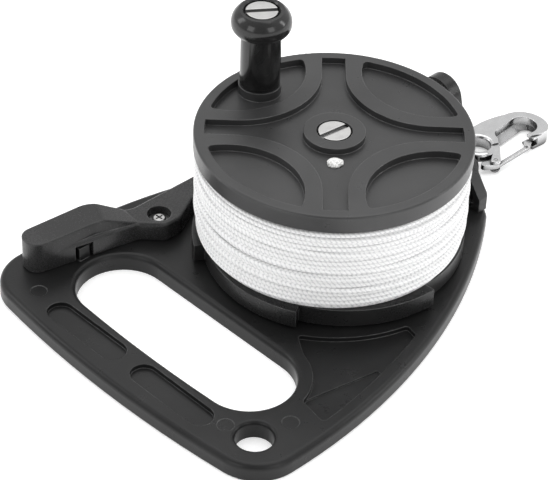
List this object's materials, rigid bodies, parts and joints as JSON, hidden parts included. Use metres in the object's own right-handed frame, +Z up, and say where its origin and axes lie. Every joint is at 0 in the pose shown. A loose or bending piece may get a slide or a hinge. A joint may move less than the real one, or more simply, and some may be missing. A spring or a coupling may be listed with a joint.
{
  "type": "dive reel",
  "caption": "Hand-held dive reel: flat handle frame, cranked spool of white line with a ratchet lever, line guide and snap hook.",
  "frame": {"origin": "on the spool axis, in the underside of the frame", "axes": "+Z up along the spool axis, +X along the frame towards the nose, +Y towards the thumb lever"},
  "size_m": [0.2298, 0.1436, 0.0898],
  "materials": {
    "black_plastic": "satin moulded",
    "gloss_black_plastic": "smooth moulded",
    "bush_plastic": "smooth low-friction",
    "plated_screw": "bright plated",
    "brass": "machined",
    "line": "braided",
    "stainless": "tumbled cast"
  },
  "bodies": {
    "frame": {"frame_plate": "black_plastic", "line_guide": "black_plastic", "guide_screws": "plated_screw", "thrust_washer": "bush_plastic", "axle_insert": "brass", "axle_washer": "plated_screw", "axle_bolt": "plated_screw", "lever_washer": "plated_screw", "lever_screw": "plated_screw", "lever_spring": "plated_screw", "line_run": "line"},
    "spool": {"spool_drum": "black_plastic", "spool_flange": "black_plastic", "case_screws": "plated_screw", "lower_bush": "bush_plastic", "upper_bush": "bush_plastic", "line_core": "line", "line_winding": "line", "line_end_knot": "line", "crank_sleeve": "plated_screw", "crank_screw": "plated_screw", "crank_insert": "brass"},
    "crank_knob": {"crank_knob": "gloss_black_plastic"},
    "thumb_lever": {"thumb_lever": "black_plastic"},
    "line_leader": {"line_leader": "line"},
    "snap": {"snap_body": "stainless", "gate_pin": "stainless"},
    "snap_gate": {"snap_gate": "stainless"}
  },
  "joints": [
    {"name": "spool_spin", "type": "hinge", "parent": "frame", "child": "spool", "pos_m": [0, 0, 0.03], "axis": [0, 0, 1], "continuous": true},
    {"name": "crank_spin", "type": "hinge", "parent": "spool", "child": "crank_knob", "pos_m": [0.0005, 0.0387, 0.07], "axis": [0, 0, 1], "continuous": true},
    {"name": "lever_swing", "type": "hinge", "parent": "frame", "child": "thumb_lever", "pos_m": [-0.04117, 0.04703, 0.011], "axis": [0, 0, -1], "range_deg": [-5, 6], "stiffness_Nm_per_rad": 0.05, "deforming": ["lever_spring"]},
    {"name": "snap_swing", "type": "hinge", "parent": "frame", "child": "line_leader", "pos_m": [0.05805, 0, 0.0334], "axis": [0, 0, 1], "range_deg": [-20, 20]},
    {"name": "snap_lift", "type": "hinge", "parent": "line_leader", "child": "snap", "pos_m": [0.08424, 0.00915, 0.00425], "axis": [-0.6428, -0.766, 0], "range_deg": [0, 60]},
    {"name": "gate_open", "type": "hinge", "parent": "snap", "child": "snap_gate", "pos_m": [0.08668, -0.0062, 0.0032], "axis": [0, 0, 1], "range_deg": [0, 26], "stiffness_Nm_per_rad": 0.001, "springref_deg": -11.46}
  ]
}
